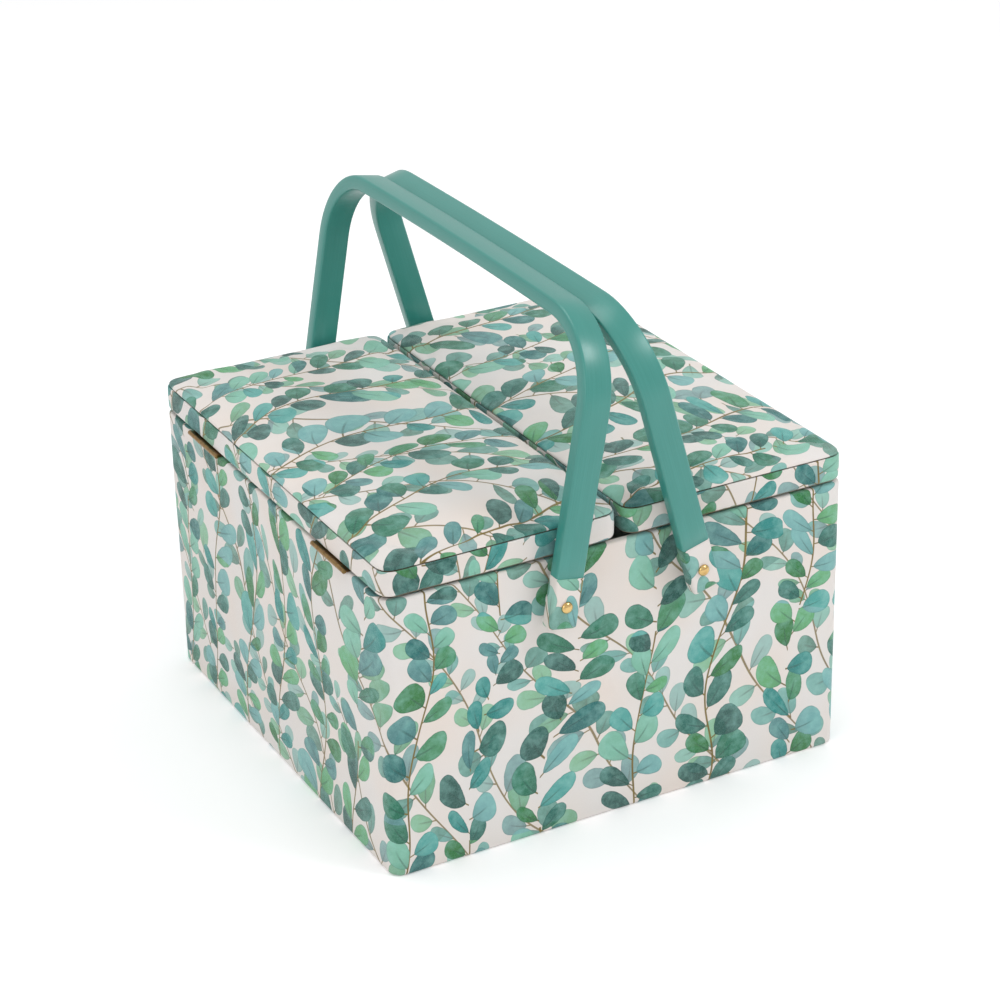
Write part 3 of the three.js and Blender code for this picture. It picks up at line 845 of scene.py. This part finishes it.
def elastic_pocket():
    """A pocket of gathered cloth on the right lid's lining, fullest at its open edge."""
    low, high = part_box("elastic_pocket")
    centre = (low + high) / 2
    half_x, half_y = (high[0] - low[0]) / 2, (high[1] - low[1]) / 2
    across, along = 110, 24
    ceiling = high[2] - 0.3 * MM
    front, back = [], []
    for j in range(along + 1):
        share = j / along
        y = centre.y + half_y * (2 * share - 1)
        rows = ([], [])
        for i in range(across + 1):
            turn = i / across
            x = centre.x + half_x * (2 * turn - 1)
            belly = (1 - (2 * turn - 1) ** 6) * (0.25 + 0.75 * share ** 0.7)
            fold = math.sin(turn * math.tau * 17 + 1.3 * math.sin(turn * 23)) * (0.25 + 0.75 * share ** 2)
            fold *= 1 - (2 * turn - 1) ** 8
            depth = (0.6 + 1.9 * belly + 0.55 * fold) * MM
            rows[0].append(Vector((x, y, ceiling - depth - 0.7 * MM)))
            rows[1].append(Vector((x, y, ceiling - depth)))
        front.append(rows[0])
        back.append(rows[1])
    mesh = loft(front + back[::-1], wrap=False, close=True)
    shape = bmesh.new()
    shape.from_mesh(mesh)
    bmesh.ops.holes_fill(shape, edges=[e for e in shape.edges if e.is_boundary], sides=0)
    bmesh.ops.recalc_face_normals(shape, faces=shape.faces)
    shape.to_mesh(mesh)
    shape.free()
    shade(mesh, 60)
    piece = make("pocket_cloth", mesh, LINING, "lid_right", ["elastic_pocket"])


# ---------------------------------------------------------------- handles

HANDLE_WIDTH = 17.5 * MM
HANDLE_DEEP = 9.0 * MM
HANDLE_CORNER = 50 * MM
COVER_TOP = 17 * MM
COVER_FOOT = -13.8 * MM
_, handle_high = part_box("handle_left")
HANDLE_SPAN = handle_high[1] - HANDLE_DEEP / 2  # to the middle of the strap
REACH = 163.5 * MM - HANDLE_DEEP / 2


def section(width, deep, radius, steps=3):
    """Points round a strap's section: x across, y outward."""
    points = []
    for sx, sy, start in ((1, 1, 0), (-1, 1, 90), (-1, -1, 180), (1, -1, 270)):
        for i in range(steps + 1):
            angle = math.radians(start + 90 * i / steps)
            points.append((
                sx * (width / 2 - radius) + radius * math.cos(angle),
                sy * (deep / 2 - radius) + radius * math.sin(angle),
            ))
    return points


def bail_path():
    """The strap's middle line in its own plane: (y, height, outward y, outward height, size)."""
    radius = HANDLE_CORNER - HANDLE_DEEP / 2
    path = []
    for height, size in ((-12 * MM, 0.86), (COVER_TOP - 1.5 * MM, 0.86), (COVER_TOP - 0.9 * MM, 1.0)):
        path.append((-HANDLE_SPAN, height, -1.0, 0.0, size))
    straight = REACH - radius
    for i in range(1, 8):
        path.append((-HANDLE_SPAN, COVER_TOP + (straight - COVER_TOP) * i / 8, -1.0, 0.0, 1.0))
    for i in range(17):
        angle = math.radians(180 - 90 * i / 16)
        path.append((radius - HANDLE_SPAN + radius * math.cos(angle), straight + radius * math.sin(angle),
                     math.cos(angle), math.sin(angle), 1.0))
    half_bar = HANDLE_SPAN - radius
    for i in range(1, 12):
        y = -half_bar + 2 * half_bar * i / 12
        bow = 1.1 * MM * (1 - (y / half_bar) ** 2)
        path.append((y, REACH + bow, 0.0, 1.0, 1.0))
    left = path[:28]
    path.extend((-y, h, -oy, oh, size) for y, h, oy, oh, size in reversed(left[:27]))
    return path


def lean_frame(word):
    pivot = Vector(JOINTS[f"handle_{word}_swing"]["pos_m"])
    return Matrix.Translation(pivot) @ Matrix.Rotation(LEANS[word], 4, "Y")


def strap(word):
    ring = section(HANDLE_WIDTH, HANDLE_DEEP, 1.5 * MM)
    place = lean_frame(word)
    rows, uv_rows, travelled, last = [], [], 0.0, None
    around = [0.0]
    for a, b in zip(ring, ring[1:] + ring[:1]):
        around.append(around[-1] + math.hypot(b[0] - a[0], b[1] - a[1]))
    for y, height, out_y, out_h, size in bail_path():
        here = Vector((0, y, height))
        travelled += (here - last).length if last else 0.0
        last = here
        outward = Vector((0, out_y, out_h))
        rows.append([place @ (here + Vector((x * size, 0, 0)) + outward * (o * size)) for x, o in ring])
        uv_rows.append([(travelled, s) for s in around])
    mesh = loft(rows, uv_rows, wrap=True, caps=(0, -1))
    shade(mesh, 50)
    make(f"handle_{word}_strap", mesh, STRAP, f"handle_{word}", [f"handle_{word}"])


def end_cover(word, place_word, end):
    """A cloth sleeve, folded over at its mouth and closed at its foot."""
    place = lean_frame(word)
    middle = end * HANDLE_SPAN
    levels = [
        (COVER_TOP - 1.2 * MM, -0.55), (COVER_TOP - 0.1 * MM, -0.45), (COVER_TOP + 0.15 * MM, 0.05),
        (COVER_TOP - 0.4 * MM, 0.3), (COVER_TOP - 1.6 * MM, 0.12),
    ]
    drop = COVER_TOP - 1.6 * MM - (COVER_FOOT + 1.6 * MM)
    levels += [(COVER_TOP - 1.6 * MM - drop * i / 5, 0.1) for i in range(1, 5)]
    levels += [(COVER_FOOT + 1.6 * MM, 0.1), (COVER_FOOT + 0.6 * MM, -0.25), (COVER_FOOT + 0.1 * MM, -1.1),
               (COVER_FOOT, -2.0)]
    rows, uv_rows = [], []
    seed = (1 if end > 0 else 0) + (2 if word == "left" else 0)
    for height, outset in levels:
        ring = section(HANDLE_WIDTH + 2 * outset * MM, HANDLE_DEEP + 2 * outset * MM, 1.5 * MM)
        run, spots = 0.0, []
        row = []
        for index, (x, o) in enumerate(ring):
            if index:
                run += math.hypot(x - ring[index - 1][0], o - ring[index - 1][1])
            spots.append((run + 0.083 * seed + 0.02, height + 0.047 * seed))
            spot = Vector((x, middle + o, height))
            ripple = noise.noise(Vector((x, o, height)) * 160 + Vector((seed, 0, 0))) * 0.16 * MM
            row.append(place @ (spot + Vector((x, o, 0)).normalized() * ripple))
        spots.append((spots[0][0] + run + 1 * MM, spots[0][1]))
        rows.append(row)
        uv_rows.append(spots)
    mesh = loft(rows, uv_rows, wrap=True, caps=(0, -1))
    shade(mesh, 60)
    make(f"handle_{word}_sleeve_{place_word}", mesh, PRINT, f"handle_{word}",
         [f"handle_{word}_end_cover_{place_word}"])


def lathe(profile, axis_point, end, around=32):
    """A turned part along Y: profile is (radius, distance along Y from the point) pairs."""
    rows = []
    for radius, reach in profile:
        rows.append([
            Vector(axis_point) + Vector((radius * math.cos(turn), end * reach, radius * math.sin(turn)))
            for turn in (math.tau * i / around for i in range(around))
        ])
    return loft(rows, caps=(0, -1))


def rivet(word, place_word, end):
    node = f"rivet_{word}_{place_word}"
    low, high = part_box(node)
    middle = (low + high) / 2
    outer = max(abs(low[1]), abs(high[1]))
    inner = min(abs(low[1]), abs(high[1]))
    head, dome = 3.5 * MM, 2.4 * MM
    seat = outer - dome
    profile = [(1.6 * MM, inner), (2.9 * MM, inner + 0.1 * MM), (3.2 * MM, inner + 0.5 * MM)]
    profile += [(3.1 * MM, inner + 1.3 * MM), (2.0 * MM, inner + 1.4 * MM), (2.0 * MM, seat - 0.05 * MM)]
    profile += [(head - 0.1 * MM, seat - 0.05 * MM), (head, seat + 0.25 * MM)]
    for i in range(1, 8):
        angle = math.radians(90 * i / 8)
        profile.append((head * math.cos(angle), seat + 0.25 * MM + (dome - 0.25 * MM) * math.sin(angle)))
    mesh = lathe(profile, (middle.x, 0.0, middle.z), end)
    shade(mesh, 40)
    make(f"{node}_stud", mesh, BRASS, "box", [node])


def handles():
    for word, _ in SIDES:
        strap(word)
        for place_word, end in ENDS:
            end_cover(word, place_word, end)
            rivet(word, place_word, end)
            for kind, material, slot in (("spacer", NYLON, "tray_plastic"), ("washer", BRASS, "brass")):
                node = f"{kind}_{word}_{place_word}"
                soften(node, f"{node}_turned", material, "box", 0.25 * MM)


# ---------------------------------------------------------------- hinges

def hinge(word, side, place_word):
    prefix = f"hinge_{word}_{place_word}"
    pin_low, pin_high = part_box(f"{prefix}_pin")
    axis = (pin_low + pin_high) / 2
    length = pin_high[1] - pin_low[1]
    start = pin_low[1]
    pitch = length / 5
    barrel, tip = 1.5 * MM, 0.25 * MM
    pin = lathe([(0.4 * MM, start - 0.3 * MM), (1.0 * MM, start - 0.2 * MM), (1.1 * MM, start),
                 (0.65 * MM, start + 0.05 * MM), (0.65 * MM, -0.05 * MM - start + 2 * (start + length / 2)),
                 (1.1 * MM, start + length), (1.0 * MM, start + length + 0.2 * MM),
                 (0.4 * MM, start + length + 0.3 * MM)], (axis.x, 0.0, axis.z), 1, 20)
    shade(pin, 40)
    make(f"{prefix}_rod", pin, OLD_BRASS, "box", [f"{prefix}_pin"])
    for leaf, odd in (("lower", 0), ("upper", 1)):
        body = "box" if leaf == "lower" else f"lid_{word}"
        shape = bmesh.new()
        for index in range(odd, 5, 2):
            a, b = start + pitch * index + 0.15 * MM, start + pitch * (index + 1) - 0.15 * MM
            rings = [(barrel - tip, a), (barrel, a + tip), (barrel, b - tip), (barrel - tip, b),
                     (0.95 * MM, b), (0.95 * MM, a)]
            knuckle = loft([[Vector((axis.x + r * math.cos(math.tau * k / 24), y,
                                     axis.z + r * math.sin(math.tau * k / 24))) for k in range(24)]
                            for r, y in rings], close=True)
            shape.from_mesh(knuckle)
            bpy.data.meshes.remove(knuckle)
        level = axis.z + (-0.4 * MM if leaf == "lower" else 0.4 * MM)
        inner = side * (abs(axis.x) - 10.5 * MM)
        outer = side * (abs(axis.x) - 1.35 * MM)
        thick = 0.2 * MM
        cube = bmesh.ops.create_cube(shape, size=1.0)
        for v in cube["verts"]:
            v.co = Vector(((inner + outer) / 2 + v.co.x * abs(outer - inner),
                           start + length / 2 + v.co.y * length, level + v.co.z * 2 * thick))
        edges = list({e for v in cube["verts"] for e in v.link_edges})
        bmesh.ops.bevel(shape, geom=edges, offset=0.12 * MM, segments=2, affect="EDGES")
        mesh = bpy.data.meshes.new("leaf")
        shape.to_mesh(mesh)
        shape.free()
        shade(mesh, 40)
        make(f"{prefix}_{leaf}_plate", mesh, OLD_BRASS, body, [f"{prefix}_{leaf}_leaf"])


# ---------------------------------------------------------------- carried-over CAD parts

def dress_boards():
    boards = ["base_panel", "left_panel", "right_panel", "front_panel", "back_panel"]
    boards += [f"lid_{word}_{part}" for word, _ in SIDES for part in ("rim", "board")]
    for name in boards:
        node = frame["nodes"][name]
        node.data.materials.clear()
        node.data.materials.append(BOARD)


def organiser():
    soften("organiser_tray", "organiser_tray_moulded", TRAY, "box", 0.7 * MM, 3)
    for word, _ in SIDES:
        soften(f"tray_ledge_{word}", f"tray_ledge_{word}_batten", BOARD, "box", 0.6 * MM)


# ---------------------------------------------------------------- studio

def studio():
    bpy.ops.mesh.primitive_plane_add(size=12, location=(0, 0, -0.0002))
    floor = bpy.context.object
    floor.name = "studio_floor"
    floor.data.materials.append(floor_paint())

    world = bpy.data.worlds.new("studio") if not bpy.data.worlds else bpy.data.worlds[0]
    bpy.context.scene.world = world
    world.use_nodes = True
    background = world.node_tree.nodes["Background"]
    background.inputs["Color"].default_value = (1.0, 1.0, 1.0, 1.0)
    background.inputs["Strength"].default_value = 0.8

    def soft_light(name, place, size, power, target=(0, 0, 0.12)):
        data = bpy.data.lights.new(name, "AREA")
        data.shape = "DISK"
        data.size = size
        data.energy = power
        lamp = bpy.data.objects.new(name, data)
        bpy.context.collection.objects.link(lamp)
        lamp.location = place
        aim = Vector(target) - Vector(place)
        lamp.rotation_euler = aim.to_track_quat("-Z", "Y").to_euler()

    soft_light("key", (0.9, -1.1, 1.6), 0.7, 11)
    soft_light("top", (-0.3, 0.5, 2.0), 1.2, 9)
    soft_light("fill", (-1.7, -0.9, 0.9), 1.2, 5)
    view = bpy.context.scene.view_settings
    view.view_transform = "Standard"
    view.look = "None"


def camera():
    """A long lens from the front left, a little above, rolled by a degree."""
    azimuth, elevation, roll = math.radians(-28), math.radians(25.6), math.radians(-1.3)
    distance, target = 1.7, Vector((0.0055, 0.003, 0.1347))
    back = Vector((math.sin(azimuth) * math.cos(elevation), -math.cos(azimuth) * math.cos(elevation),
                   math.sin(elevation)))
    data = bpy.data.cameras.new("view")
    data.lens = 100.2
    data.sensor_width = 36
    data.clip_end = 20
    seat = bpy.data.objects.new("view", data)
    bpy.context.collection.objects.link(seat)
    seat.rotation_mode = "QUATERNION"
    seat.location = target + back * distance
    facing = (-back).to_track_quat("-Z", "Y").to_matrix().to_4x4()
    seat.rotation_quaternion = (facing @ Matrix.Rotation(roll, 4, "Z")).to_quaternion()
    bpy.context.scene.camera = seat


camera()
studio()
box_cloth()
base_cloth()
box_lining()
dress_boards()
organiser()
for lid_word, lid_side in SIDES:
    lid_band(lid_word, lid_side)
    lid_top(lid_word, lid_side)
    lid_underside(lid_word)
    for hinge_place, _ in ENDS:
        hinge(lid_word, lid_side, hinge_place)
pincushion()
elastic_pocket()
handles()
